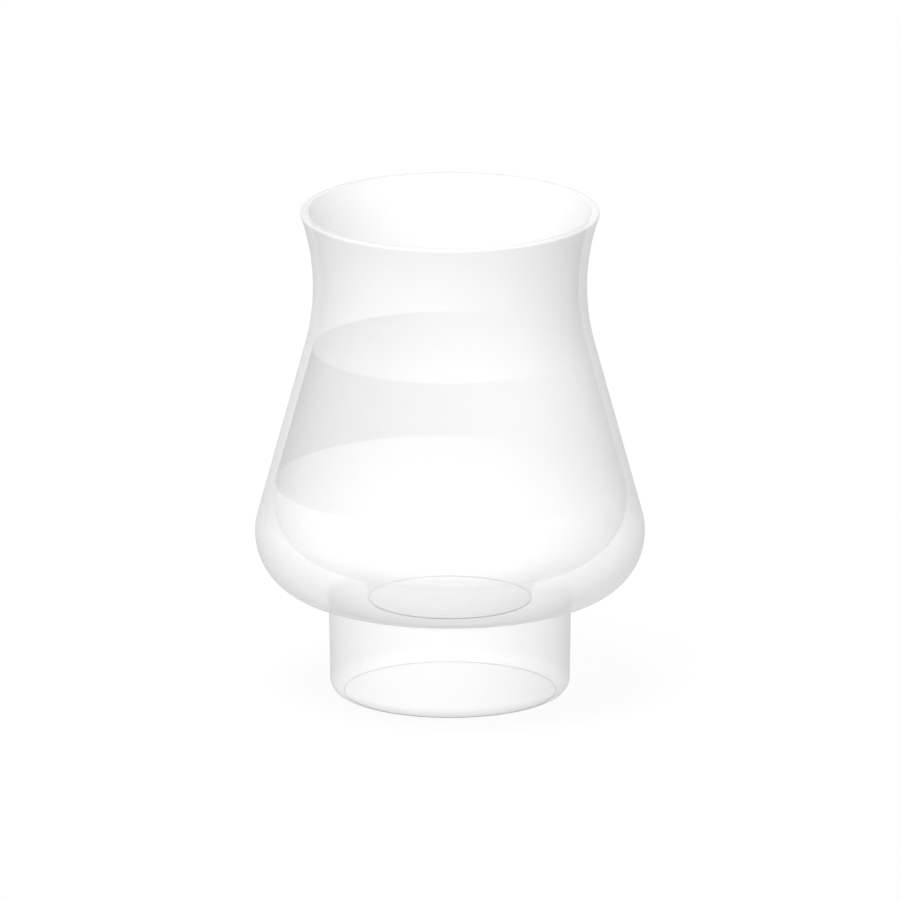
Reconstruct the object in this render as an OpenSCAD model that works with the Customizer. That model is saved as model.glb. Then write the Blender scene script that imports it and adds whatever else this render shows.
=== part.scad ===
// Footed crystal tumbler: a blown bowl with a flared lip, sealed hot onto a solid foot.
// Both pieces are turned about Z. The foot stands on Z = 0, and sizes are in millimetres.
// The side view is a chain of tangent arcs and straight lines, with corners only at the floor and the seal.

/* [Overall] */
// Height from the table to the flat of the lip
height = 119.8; // [112:0.1:140]

/* [Mouth and neck] */
// Outer diameter of the waist, the narrowest ring of the neck
waist_d = 66.2; // [58:0.1:75]
// Depth of the waist below the lip
waist_drop = 19; // [15:0.1:24]
// How far the lip's inner edge stands out past the inside of the waist
lip_flare = 3.2; // [1.8:0.05:6]
// Rounding of the lip's outer edge
lip_round = 0.55; // [0.2:0.05:0.8]
// Rounding of the lip's inner edge
lip_ease = 0.1; // [0.05:0.05:0.3]

/* [Bowl] */
// Outer diameter of the belly
belly_d = 94.1; // [88:0.1:104]
// Rounding of the belly, seen from the side
belly_round = 15.4; // [12:0.1:18]
// Thickness of the glass from the lip to the belly
wall = 2; // [1.4:0.1:3]
// Rounding of the hollow's belly, seen from the side
hollow_round = 15.2; // [12:0.1:18]
// Height of the hollow's widest ring over its floor
hollow_rise = 25.2; // [22:0.1:30]
// Diameter of the hollow's flat floor
floor_d = 39.2; // [30:0.1:46]
// Glass between the floor and the seal, on the axis
floor_glass = 4.5; // [4:0.1:8]
// Rounding of the collar where the bowl runs into the foot
collar_round = 2; // [1.5:0.1:5]

/* [Foot] */
// Height of the foot's wall, from the table to the seal
foot_h = 22.5; // [12:0.1:28]
// Diameter of the foot at the seal
foot_d = 58.5; // [52:0.1:66]
// Draft of the foot's wall, narrower towards the table, in degrees
foot_draft = 1.1; // [0:0.1:4]
// Rounding of the foot's lower edge
base_round = 3.3; // [1:0.1:6]
// Depth of the dished seal on the axis, below its edge
seal_dip = 4; // [2:0.1:5]

/* [Hidden] */
$fa = 4;
$fs = 0.1;
same_point = 0.001;
glass_tint = [0.90, 0.92, 0.93, 0.45];

// Unit vector at an angle
function polar(angle) = [cos(angle), sin(angle)];

// Angle of the way from one point to another
function heading(from, to) = atan2(to[1] - from[1], to[0] - from[0]);

// Points along an arc, close enough for $fa and $fs
function arc(centre, r, from, to) =
    let (turn = abs(to - from) / 360)
    let (steps = ceil(turn * max(5, min(360 / $fa, 2 * PI * r / $fs))))
    [for (i = [0:steps]) centre + r * polar(from + (to - from) * i / steps)];

// A path without the second of two points that fall together where one arc runs into the next
function joined(path) =
    [for (i = [0:len(path) - 1]) if (i == 0 || norm(path[i] - path[i - 1]) > same_point) path[i]];

function reversed(path) = [for (i = [len(path) - 1:-1:0]) path[i]];

// Seal between bowl and foot: a shallow round dish with its edge at the top of the foot's wall
seal_edge = [foot_d / 2, foot_h];
seal_r = (pow(foot_d / 2, 2) + pow(seal_dip, 2)) / (2 * seal_dip);
seal_c = [0, foot_h - seal_dip + seal_r];
seal_path = arc(seal_c, seal_r, -90, heading(seal_c, seal_edge));

// Collar and belly: the collar runs on from the foot's wall, and the belly rests tangent on the collar
wall_side = polar(-foot_draft);
collar_c = seal_edge + collar_round * wall_side;
belly_cx = belly_d / 2 - belly_round;
belly_c = [
    belly_cx,
    collar_c[1] + sqrt(pow(belly_round + collar_round, 2) - pow(collar_c[0] - belly_cx, 2))
];

// Neck: one arc from the lip through the waist, and a straight side tangent to it and to the belly
neck_inner_r = (pow(waist_drop, 2) + pow(lip_flare, 2)) / (2 * lip_flare);
neck_r = neck_inner_r - wall;
neck_c = [waist_d / 2 + neck_r, height - waist_drop];
lean = heading(belly_c, neck_c) - acos((neck_r + belly_round) / norm(neck_c - belly_c));

// Lip: cut level, with its outer edge rounded more than its inner one
lip_outer_reach = sqrt(pow(neck_r + lip_round, 2) - pow(waist_drop - lip_round, 2));
lip_inner_reach = sqrt(pow(neck_inner_r - lip_ease, 2) - pow(waist_drop - lip_ease, 2));
lip_outer_c = [neck_c[0] - lip_outer_reach, height - lip_round];
lip_inner_c = [neck_c[0] - lip_inner_reach, height - lip_ease];

// Hollow: its side runs parallel to the outer one, down to its own belly
floor_r = floor_d / 2;
floor_z = foot_h - seal_dip + floor_glass;
hollow_z = floor_z + hollow_rise;
side_reach = belly_c * polar(lean) + belly_round;
hollow_reach = side_reach - wall - hollow_round;
hollow_c = [(hollow_reach - hollow_z * sin(lean)) / cos(lean), hollow_z];

// Well: an arc that turns the hollow's belly down to the edge of the flat floor
well_step = hollow_c[0] - floor_r;
well_span = pow(well_step, 2) + pow(hollow_rise, 2) - pow(hollow_round, 2);
well_r = well_span / (2 * (hollow_round + well_step));
well_c = [floor_r + well_r, floor_z];

// Foot: rounded from the flat base into the drafted wall
foot_reach = seal_edge * wall_side;
base_c = [(foot_reach - base_round + base_round * sin(foot_draft)) / cos(foot_draft), base_round];

bowl_outer = concat(
    seal_path,
    arc(collar_c, collar_round, 180 - foot_draft, heading(collar_c, belly_c)),
    arc(belly_c, belly_round, heading(belly_c, collar_c), lean),
    arc(neck_c, neck_r, 180 + lean, heading(neck_c, lip_outer_c)),
    arc(lip_outer_c, lip_round, heading(lip_outer_c, neck_c), 90)
);

bowl_inner = concat(
    arc(lip_inner_c, lip_ease, 90, heading(neck_c, lip_inner_c)),
    arc(neck_c, neck_inner_r, heading(neck_c, lip_inner_c), 180 + lean),
    arc(hollow_c, hollow_round, lean, heading(hollow_c, well_c)),
    arc(well_c, well_r, heading(well_c, hollow_c), 180),
    [[0, floor_z]]
);

foot_outline = concat(
    [[0, 0]],
    arc(base_c, base_round, -90, -foot_draft),
    reversed(seal_path)
);

module bowl() {
    color(glass_tint)
        rotate_extrude()
            polygon(joined(concat(bowl_outer, bowl_inner)));
}

module foot() {
    color(glass_tint)
        rotate_extrude()
            polygon(joined(foot_outline));
}

bowl();
foot();
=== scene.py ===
from math import acos, asin, atan2, cos, pi, radians, sin, sqrt

import bmesh
import bpy
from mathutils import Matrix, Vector


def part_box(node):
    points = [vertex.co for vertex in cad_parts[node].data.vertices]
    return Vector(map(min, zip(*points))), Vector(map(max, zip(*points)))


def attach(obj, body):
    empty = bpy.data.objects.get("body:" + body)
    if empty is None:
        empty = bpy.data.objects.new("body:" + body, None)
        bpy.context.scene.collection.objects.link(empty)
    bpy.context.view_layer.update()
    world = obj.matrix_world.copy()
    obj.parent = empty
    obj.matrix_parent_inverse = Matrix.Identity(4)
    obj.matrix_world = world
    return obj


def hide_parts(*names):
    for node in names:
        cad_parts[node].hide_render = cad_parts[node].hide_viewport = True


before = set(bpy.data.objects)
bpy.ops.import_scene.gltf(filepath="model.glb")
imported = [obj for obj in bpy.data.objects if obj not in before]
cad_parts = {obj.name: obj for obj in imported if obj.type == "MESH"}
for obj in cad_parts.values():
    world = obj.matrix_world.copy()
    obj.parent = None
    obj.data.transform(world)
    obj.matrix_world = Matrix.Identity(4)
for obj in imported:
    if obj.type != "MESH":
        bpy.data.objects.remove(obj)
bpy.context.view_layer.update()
print("frame loaded")

mm = 0.001  # profiles are drawn in millimetres and scaled to metres at the end

# Heights of the dished seal between bowl and foot, from the frame
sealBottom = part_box("bowl")[0][2] / mm
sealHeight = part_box("foot")[1][2] / mm

latheSteps = 192  # faces round the glass
creaseAngle = radians(35)  # sharper corners than this stay crisp
samePoint = 1e-4  # points closer than this are merged, in millimetres

# Turn of each step along an arc: wide sweeps are cut finest, the tiny lip edges coarsest
sweepStep = radians(1)
roundStep = radians(2.5)
lipStep = radians(10)
leastSteps = 3


def heading(start, end):
    return atan2(end.y - start.y, end.x - start.x)


def polar(angle):
    return Vector((cos(angle), sin(angle)))


# The profile is drawn like a pen stroke in the XZ plane: straight pulls and arcs
def penDown(bm, point):
    return bm.verts.new((point.x, 0, point.y))


def penLine(bm, tip, point):
    tip = bmesh.ops.extrude_vert_indiv(bm, verts=[tip])["verts"][0]
    tip.co = (point.x, 0, point.y)
    return tip


def penArc(bm, tip, centre, turn, stepAngle=roundStep):
    steps = max(leastSteps, round(abs(turn) / stepAngle))
    swept = bmesh.ops.spin(bm, geom=[tip], cent=(centre.x, 0, centre.y), axis=(0, -1, 0),
                           dvec=(0, 0, 0), angle=turn, steps=steps, use_merge=False)
    return [item for item in swept["geom_last"] if isinstance(item, bmesh.types.BMVert)][0]


def placeInMesh(item, count):
    place = 0
    for index in sorted(vert.index for vert in item.verts)[:3]:
        place = place * count + index
    return place


def latheProfile(bm):
    bmesh.ops.spin(bm, geom=bm.verts[:] + bm.edges[:], cent=(0, 0, 0), axis=(0, 0, 1),
                   dvec=(0, 0, 0), angle=2 * pi, steps=latheSteps, use_merge=True)
    bmesh.ops.remove_doubles(bm, verts=bm.verts[:], dist=samePoint)
    bmesh.ops.recalc_face_normals(bm, faces=bm.faces[:])
    bmesh.ops.scale(bm, vec=(mm, mm, mm), verts=bm.verts[:])
    # the spin leaves edges and faces in any order, so they are put in the order of their corners
    bm.verts.index_update()
    count = len(bm.verts)
    bm.edges.sort(key=lambda edge: placeInMesh(edge, count))
    bm.faces.sort(key=lambda face: placeInMesh(face, count))


def glassPiece(name, bm, materials, pickMaterial, node):
    for face in bm.faces:
        face.smooth = True
        face.material_index = pickMaterial(face.calc_center_median() / mm, face.normal)
    for edge in bm.edges:
        edge.smooth = edge.calc_face_angle(0) < creaseAngle
    mesh = bpy.data.meshes.new(name)
    bm.to_mesh(mesh)
    bm.free()
    for material in materials:
        mesh.materials.append(material)
    piece = bpy.data.objects.new(name, mesh)
    bpy.context.scene.collection.objects.link(piece)
    piece.visible_diffuse = False  # bounced light passes by, so the clear glass doesn't shade itself
    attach(piece, "root")
    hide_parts(node)
    print(name, len(mesh.polygons), "faces")


# Materials
crystalLook = {
    "colour": (0.98, 0.98, 0.98, 1),
    "alpha": 0.56,
    "hollowAlpha": 0.40,  # the inside shows less than the outside
    "bandAlpha": 0.50,  # the hollow's straight side is more opaque, a band that carries painted shade
    "deepPaintedShade": 0.03,  # deepest painted shade, nearly black
    "lightPaintedShade": 0.6,  # lighter painted shade; 1 is clear
    # where each lies, in degrees round the glass, with 0 at the right and 90 at the back
    "deepPaintedShadeSpan": (120, 150),
    "lightPaintedShadeSpan": (-150, -90),
    "clearSpan": (-30, 60),
    "roughness": (0.10, 0.20),  # fire-polished, with faint smoother and duller patches
    "specular": 0.0,
    "ior": 1.52,
    "waveScale": 45,  # slow waves of hand-blown glass, per metre
    "waveDepth": 0.00004,
    "waveDetail": 1,
    # near black for the fine grooves: a painted dark line where the glass edges show dark
    "edgeColour": (0.01, 0.01, 0.01, 1),
    "edgeAlpha": 0.95,
}


def newMaterial(name):
    material = bpy.data.materials.new(name)
    material.use_nodes = True
    material.node_tree.nodes.clear()
    return material, material.node_tree.nodes, material.node_tree.links


def crystalMaterial(name, colour, alpha):
    material, nodes, links = newMaterial(name)
    output = nodes.new("ShaderNodeOutputMaterial")
    glass = nodes.new("ShaderNodeBsdfPrincipled")
    glass.name = "glass"
    glass.inputs["Base Color"].default_value = colour
    glass.inputs["Alpha"].default_value = alpha
    glass.inputs["IOR"].default_value = crystalLook["ior"]
    glass.inputs["Specular IOR Level"].default_value = crystalLook["specular"]
    coords = nodes.new("ShaderNodeTexCoord")
    coords.name = "coords"
    waves = nodes.new("ShaderNodeTexNoise")
    waves.inputs["Scale"].default_value = crystalLook["waveScale"]
    waves.inputs["Detail"].default_value = crystalLook["waveDetail"]
    polish = nodes.new("ShaderNodeMapRange")
    polish.inputs["To Min"].default_value = crystalLook["roughness"][0]
    polish.inputs["To Max"].default_value = crystalLook["roughness"][1]
    bump = nodes.new("ShaderNodeBump")
    bump.inputs["Distance"].default_value = crystalLook["waveDepth"]
    links.new(coords.outputs["Object"], waves.inputs["Vector"])
    links.new(waves.outputs["Fac"], polish.inputs["Value"])
    links.new(polish.outputs["Result"], glass.inputs["Roughness"])
    links.new(waves.outputs["Fac"], bump.inputs["Height"])
    links.new(bump.outputs["Normal"], glass.inputs["Normal"])
    links.new(glass.outputs["BSDF"], output.inputs["Surface"])
    return material


def grey(shade):
    return (shade, shade, shade, 1)


def paintedShadeBandMaterial(name):
    # painted shade: darkest at the back left, lighter at the front left and none to the right
    look = crystalLook
    material = crystalMaterial(name, look["colour"], look["bandAlpha"])
    nodes, links = material.node_tree.nodes, material.node_tree.links
    around = nodes.new("ShaderNodeTexGradient")
    around.gradient_type = "RADIAL"
    paintedShadeRamp = nodes.new("ShaderNodeValToRGB")
    stops = paintedShadeRamp.color_ramp.elements
    seamShade = (look["deepPaintedShade"] + look["lightPaintedShade"]) / 2  # the ramp's two ends meet between these
    for stop in stops:
        stop.color = grey(seamShade)
    spans = [("lightPaintedShadeSpan", look["lightPaintedShade"]), ("clearSpan", 1), ("deepPaintedShadeSpan", look["deepPaintedShade"])]
    for span, shade in spans:
        for angle in look[span]:
            stop = stops.new((angle + 180) / 360)
            stop.color = grey(shade)
    links.new(nodes["coords"].outputs["Object"], around.inputs["Vector"])
    links.new(around.outputs["Fac"], paintedShadeRamp.inputs["Fac"])
    # the painted shade darkens the band's colour
    links.new(paintedShadeRamp.outputs["Color"], nodes["glass"].inputs["Base Color"])
    return material


def sealMaterial():
    # The hot seal melts bowl and foot together, so its faces can't be seen
    material, nodes, links = newMaterial("hotSeal")
    output = nodes.new("ShaderNodeOutputMaterial")
    clear = nodes.new("ShaderNodeBsdfTransparent")
    links.new(clear.outputs["BSDF"], output.inputs["Surface"])
    return material


crystal = crystalMaterial("crystal", crystalLook["colour"], crystalLook["alpha"])
hollow = crystalMaterial("crystalHollow", crystalLook["colour"], crystalLook["hollowAlpha"])
# band of painted shade round the hollow's straight side
band = paintedShadeBandMaterial("crystalBand")
# near-black material for the painted dark edge lines
edge = crystalMaterial("crystalEdge", crystalLook["edgeColour"], crystalLook["edgeAlpha"])
glassSlots = [crystal, sealMaterial(), edge, hollow, band]
crystalSlot, sealSlot, edgeSlot, hollowSlot, bandSlot = range(len(glassSlots))
print("materials made")

# The foot: a drafted solid gather of glass with a rounded lower edge and a flat base
footSizes = {
    "radius": 29.25,  # at the seal
    "draft": radians(1.1),
    "baseRound": 3.3,
    "lineWidth": 0.11,  # fine groove round the flat of the base, its faces near black as a painted dark edge line
    "lineDepth": 0.09,
}
sealEdge = Vector((footSizes["radius"], sealHeight))
sealDip = sealHeight - sealBottom
dishRadius = (sealEdge.x**2 + sealDip**2) / (2 * sealDip)
dishCentre = Vector((0, sealBottom + dishRadius))
dishTurn = heading(dishCentre, sealEdge) + pi / 2
footSide = polar(-footSizes["draft"])
footReach = sealEdge.dot(footSide)


def makeFoot():
    baseRound = footSizes["baseRound"]
    draft = footSizes["draft"]
    baseCentre = Vector(((footReach - baseRound + baseRound * sin(draft)) / cos(draft), baseRound))
    flatRadius = baseCentre.x
    lineStart = flatRadius - footSizes["lineWidth"]
    bm = bmesh.new()
    tip = penDown(bm, Vector((0, 0)))
    tip = penLine(bm, tip, Vector((lineStart, 0)))
    tip = penLine(bm, tip, Vector(((lineStart + flatRadius) / 2, footSizes["lineDepth"])))
    tip = penLine(bm, tip, Vector((flatRadius, 0)))
    tip = penArc(bm, tip, baseCentre, pi / 2 - draft)
    tip = penLine(bm, tip, sealEdge)
    tip = penArc(bm, tip, dishCentre, -dishTurn, sweepStep)
    latheProfile(bm)
    facingUp = 0.5  # only the dish faces up as much as this

    def pick(centre, normal):
        if normal.z > facingUp:
            return sealSlot
        if lineStart < centre.xy.length < flatRadius:
            return edgeSlot
        return crystalSlot

    glassPiece("footGlass", bm, glassSlots, pick, "foot")


# The bowl: lip, waist, tapering side and belly outside, and the hollow with its well inside
bowlSizes = {
    "height": 119.8,
    "waistRadius": 33.1,
    "waistDrop": 19,
    "lipFlare": 3.2,
    "lipRound": 0.55,  # outer edge of the lip
    "lipEase": 0.1,  # inner edge
    "bellyRadius": 47.05,
    "bellyRound": 15.4,
    "wall": 2,
    "hollowRound": 15.2,
    "hollowRise": 25.2,
    "floorRadius": 19.6,
    "floorGlass": 4.5,
    "lineDepth": 0.12,  # fine groove in the well just above the flat floor, near black as a painted dark edge line
    "lineHeight": 0.2,
    "collarRound": 2,
}


def makeBowl():
    size = bowlSizes
    wall = size["wall"]
    collarRound, bellyRound = size["collarRound"], size["bellyRound"]
    hollowRound = size["hollowRound"]
    lipRound, lipEase = size["lipRound"], size["lipEase"]
    # outside: collar, belly and neck run into each other
    collarCentre = sealEdge + collarRound * footSide
    bellyX = size["bellyRadius"] - bellyRound
    bellyDrop = sqrt((bellyRound + collarRound)**2 - (collarCentre.x - bellyX)**2)
    bellyCentre = Vector((bellyX, collarCentre.y + bellyDrop))
    neckInner = (size["waistDrop"]**2 + size["lipFlare"]**2) / (2 * size["lipFlare"])
    neckRound = neckInner - wall
    neckCentre = Vector((size["waistRadius"] + neckRound, size["height"] - size["waistDrop"]))
    reach = (neckCentre - bellyCentre).length
    lean = heading(bellyCentre, neckCentre) - acos((neckRound + bellyRound) / reach)
    # lip: cut level, its outer edge rounded more than its inner one
    outerTurn = pi - asin((size["waistDrop"] - lipRound) / (neckRound + lipRound))
    innerTurn = pi - asin((size["waistDrop"] - lipEase) / (neckInner - lipEase))
    lipOuter = neckCentre + (neckRound + lipRound) * polar(outerTurn)
    lipInner = neckCentre + (neckInner - lipEase) * polar(innerTurn)
    # inside: the side runs parallel to the outer one, then belly and well
    floorHeight = sealBottom + size["floorGlass"]
    hollowHeight = floorHeight + size["hollowRise"]
    hollowReach = bellyCentre.dot(polar(lean)) + bellyRound - wall - hollowRound
    hollowCentre = Vector(((hollowReach - hollowHeight * sin(lean)) / cos(lean), hollowHeight))
    wellStep = hollowCentre.x - size["floorRadius"]
    wellSpan = wellStep**2 + size["hollowRise"]**2 - hollowRound**2
    wellRound = wellSpan / (2 * (hollowRound + wellStep))
    wellCentre = Vector((size["floorRadius"] + wellRound, floorHeight))
    lineTop = floorHeight + size["lineHeight"]
    lineRadius = size["floorRadius"] + size["lineDepth"]
    lineTurn = pi - asin(size["lineHeight"] / wellRound)

    bm = bmesh.new()
    tip = penDown(bm, Vector((0, sealBottom)))
    tip = penArc(bm, tip, dishCentre, dishTurn, sweepStep)
    collarStart = pi - footSizes["draft"]
    tip = penArc(bm, tip, collarCentre, heading(collarCentre, bellyCentre) - collarStart)
    tip = penArc(bm, tip, bellyCentre, lean - heading(bellyCentre, collarCentre))
    tip = penLine(bm, tip, neckCentre + neckRound * polar(pi + lean))
    tip = penArc(bm, tip, neckCentre, outerTurn - pi - lean, sweepStep)
    tip = penArc(bm, tip, lipOuter, pi * 3 / 2 - outerTurn, lipStep)
    tip = penLine(bm, tip, lipInner + lipEase * polar(pi / 2))
    tip = penArc(bm, tip, lipInner, innerTurn - pi / 2, lipStep)
    tip = penArc(bm, tip, neckCentre, pi + lean - innerTurn, sweepStep)
    tip = penLine(bm, tip, hollowCentre + hollowRound * polar(lean))
    tip = penArc(bm, tip, hollowCentre, heading(hollowCentre, wellCentre) - lean)
    tip = penArc(bm, tip, wellCentre, lineTurn - heading(wellCentre, hollowCentre))
    tip = penLine(bm, tip, Vector((lineRadius, (floorHeight + lineTop) / 2)))
    tip = penLine(bm, tip, Vector((size["floorRadius"], floorHeight)))
    tip = penLine(bm, tip, Vector((0, floorHeight)))
    latheProfile(bm)
    lineFoot = floorHeight + 0.01  # just clear of the flat floor's own faces
    bandTop = neckCentre.y - neckInner * sin(lean)
    bandBottom = hollowCentre.y + hollowRound * sin(lean)

    def pick(centre, normal):
        if centre.z < sealHeight:
            return sealSlot
        if lineFoot < centre.z < lineTop and centre.xy.length < lineRadius:
            return edgeSlot
        if centre.xy.dot(normal.xy) > 0:
            return crystalSlot
        # the straight side inside takes the band of painted shade
        if bandBottom < centre.z < bandTop:
            return bandSlot
        return hollowSlot

    glassPiece("bowlGlass", bm, glassSlots, pick, "bowl")


makeFoot()
makeBowl()

# Studio: pale floor, soft lamps in front, behind and above, an even white room
studioLook = {
    "keyFrom": Vector((-0.16, -0.76, 0.62)),
    "keyStrength": 2.0,
    "keyAngle": radians(6),
    "rearFrom": Vector((0.155, 0.98, 0.10)),
    "rearStrength": 0.9,
    "rearAngle": radians(6),
    "topFrom": Vector((-0.15, -0.25, 1)),
    "topStrength": 0.30,
    "topAngle": radians(25),
    "roomLight": 0.512,
    "floorColour": (0.54, 0.54, 0.54, 1),
    "floorGlow": 0.453,
    "floorReach": 4,  # from the middle to each side
    "floorGap": 0.0002,
}


def seenDirectly(nodes, links):
    # 1 for what the camera sees, straight or in gloss and glass, and 0 for light that bounces
    path = nodes.new("ShaderNodeLightPath")
    first = nodes.new("ShaderNodeMath")
    first.operation = "MAXIMUM"
    second = nodes.new("ShaderNodeMath")
    second.operation = "MAXIMUM"
    links.new(path.outputs["Is Camera Ray"], first.inputs[0])
    links.new(path.outputs["Is Glossy Ray"], first.inputs[1])
    links.new(first.outputs[0], second.inputs[0])
    links.new(path.outputs["Is Transmission Ray"], second.inputs[1])
    return second.outputs[0]


def makeFloor():
    bm = bmesh.new()
    bmesh.ops.create_grid(bm, x_segments=1, y_segments=1, size=studioLook["floorReach"])
    bmesh.ops.translate(bm, vec=(0, 0, -studioLook["floorGap"]), verts=bm.verts[:])
    mesh = bpy.data.meshes.new("floor")
    bm.to_mesh(mesh)
    bm.free()
    material, nodes, links = newMaterial("floorPaper")
    output = nodes.new("ShaderNodeOutputMaterial")
    paper = nodes.new("ShaderNodeBsdfDiffuse")
    paper.inputs["Color"].default_value = studioLook["floorColour"]
    glow = nodes.new("ShaderNodeEmission")
    strength = nodes.new("ShaderNodeMath")
    strength.operation = "MULTIPLY"
    strength.inputs[1].default_value = studioLook["floorGlow"]
    both = nodes.new("ShaderNodeAddShader")
    links.new(seenDirectly(nodes, links), strength.inputs[0])
    links.new(strength.outputs[0], glow.inputs["Strength"])
    links.new(paper.outputs["BSDF"], both.inputs[0])
    links.new(glow.outputs["Emission"], both.inputs[1])
    links.new(both.outputs["Shader"], output.inputs["Surface"])
    mesh.materials.append(material)
    floor = bpy.data.objects.new("floor", mesh)
    bpy.context.scene.collection.objects.link(floor)


def makeRoom():
    world = bpy.data.worlds.new("room")
    world.use_nodes = True
    nodes, links = world.node_tree.nodes, world.node_tree.links
    nodes.clear()
    output = nodes.new("ShaderNodeOutputWorld")
    light = nodes.new("ShaderNodeBackground")
    light.inputs["Color"].default_value = (1, 1, 1, 1)
    level = nodes.new("ShaderNodeMapRange")
    level.inputs["To Min"].default_value = studioLook["roomLight"]
    level.inputs["To Max"].default_value = 1
    links.new(seenDirectly(nodes, links), level.inputs["Value"])
    links.new(level.outputs["Result"], light.inputs["Strength"])
    links.new(light.outputs["Background"], output.inputs["Surface"])
    bpy.context.scene.world = world


def makeLamp(name, castsShadow):
    lamp = bpy.data.lights.new(name, "SUN")
    lamp.energy = studioLook[name + "Strength"]
    lamp.angle = studioLook[name + "Angle"]
    lamp.use_shadow = castsShadow
    stand = bpy.data.objects.new(name, lamp)
    stand.rotation_euler = studioLook[name + "From"].to_track_quat("Z", "Y").to_euler()
    bpy.context.scene.collection.objects.link(stand)


makeFloor()
makeRoom()
makeLamp("key", False)  # reaches every layer of the glass
makeLamp("rear", False)  # keeps the far side as clear as the near one
makeLamp("top", True)  # lays the soft shadow on the floor
print("studio made")

# Camera: the photograph has no perspective, so the view is orthographic
cameraView = {
    "elevation": radians(15.25),
    "aimHeight": 0.05997,
    "frameWidth": 0.21720,
    "distance": 1.0,
}


def makeCamera():
    lens = bpy.data.cameras.new("camera")
    lens.type = "ORTHO"
    lens.ortho_scale = cameraView["frameWidth"]
    camera = bpy.data.objects.new("camera", lens)
    aim = Vector((0, 0, cameraView["aimHeight"]))
    back = Vector((0, -cos(cameraView["elevation"]), sin(cameraView["elevation"])))
    camera.location = aim + back * cameraView["distance"]
    camera.rotation_euler = (pi / 2 - cameraView["elevation"], 0, 0)
    bpy.context.scene.collection.objects.link(camera)
    bpy.context.scene.camera = camera
    bpy.context.scene.view_settings.view_transform = "Standard"


makeCamera()
print("camera set")
